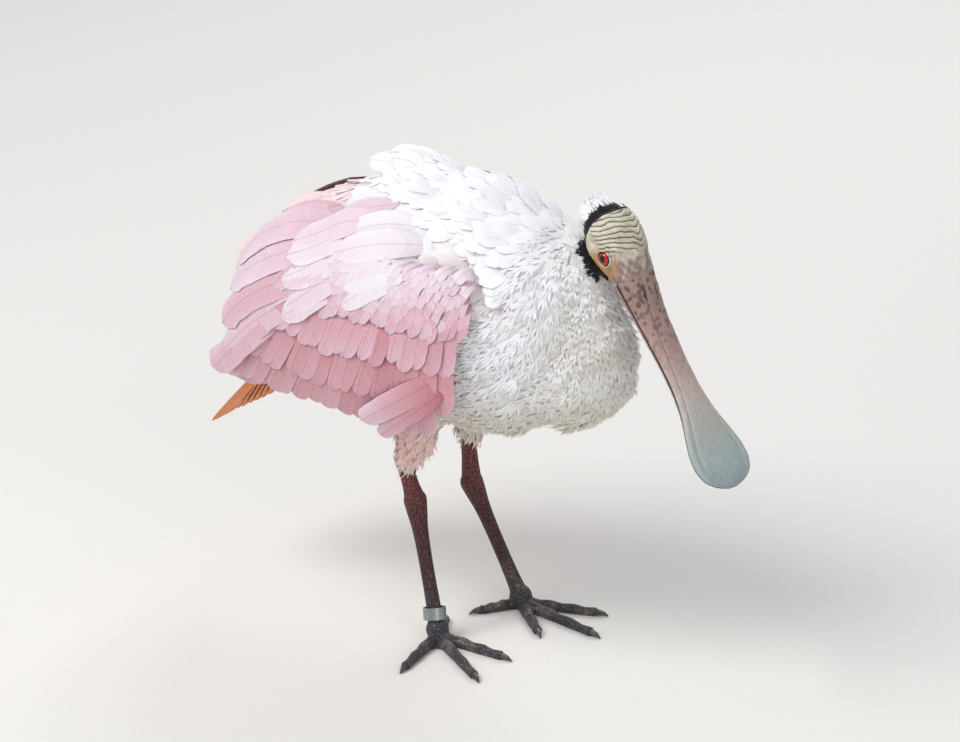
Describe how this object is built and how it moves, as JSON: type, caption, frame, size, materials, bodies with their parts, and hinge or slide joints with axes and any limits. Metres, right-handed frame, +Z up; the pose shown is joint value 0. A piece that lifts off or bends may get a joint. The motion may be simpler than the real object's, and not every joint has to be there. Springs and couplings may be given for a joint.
{
  "type": "roseate spoonbill model",
  "caption": "Long-legged wading bird standing with folded wings, its neck drawn back and its long bill, flat and rounded at the tip, held down in front.",
  "frame": {"origin": "on the floor, under the middle of the whole bird's box", "axes": "+X the way the body faces, +Y the bird's left, +Z up"},
  "size_m": [0.4738, 0.2036, 0.365],
  "materials": {
    "body": "matte",
    "body_feathers": "matte",
    "wing_feathers": "matte",
    "tail_feathers": "matte",
    "head_skin": "satin",
    "bill_horn": "satin",
    "eye": "gloss",
    "leg_skin": "satin",
    "foot_skin": "matte",
    "claw": "satin",
    "ring_metal": "satin"
  },
  "bodies": {
    "root": {"torso": "body", "rump": "body_feathers", "neck": "body", "head": "head_skin", "bill_upper": "bill_horn", "bill_lower": "bill_horn", "tail": "tail_feathers", "eye_right": "eye", "eye_left": "eye", "wing_right": "wing_feathers", "wing_left": "wing_feathers", "thigh_right": "body_feathers", "thigh_left": "body_feathers", "tibia_right": "leg_skin", "tibia_left": "leg_skin", "tarsus_right": "leg_skin", "tarsus_left": "leg_skin", "foot_right": "foot_skin", "foot_left": "foot_skin", "toe_right_inner": "foot_skin", "toe_right_middle": "foot_skin", "toe_right_outer": "foot_skin", "toe_right_hind": "foot_skin", "toe_left_inner": "foot_skin", "toe_left_middle": "foot_skin", "toe_left_outer": "foot_skin", "toe_left_hind": "foot_skin", "claw_right_inner": "claw", "claw_right_middle": "claw", "claw_right_outer": "claw", "claw_right_hind": "claw", "claw_left_inner": "claw", "claw_left_middle": "claw", "claw_left_outer": "claw", "claw_left_hind": "claw", "leg_ring": "ring_metal"}
  },
  "joints": []
}
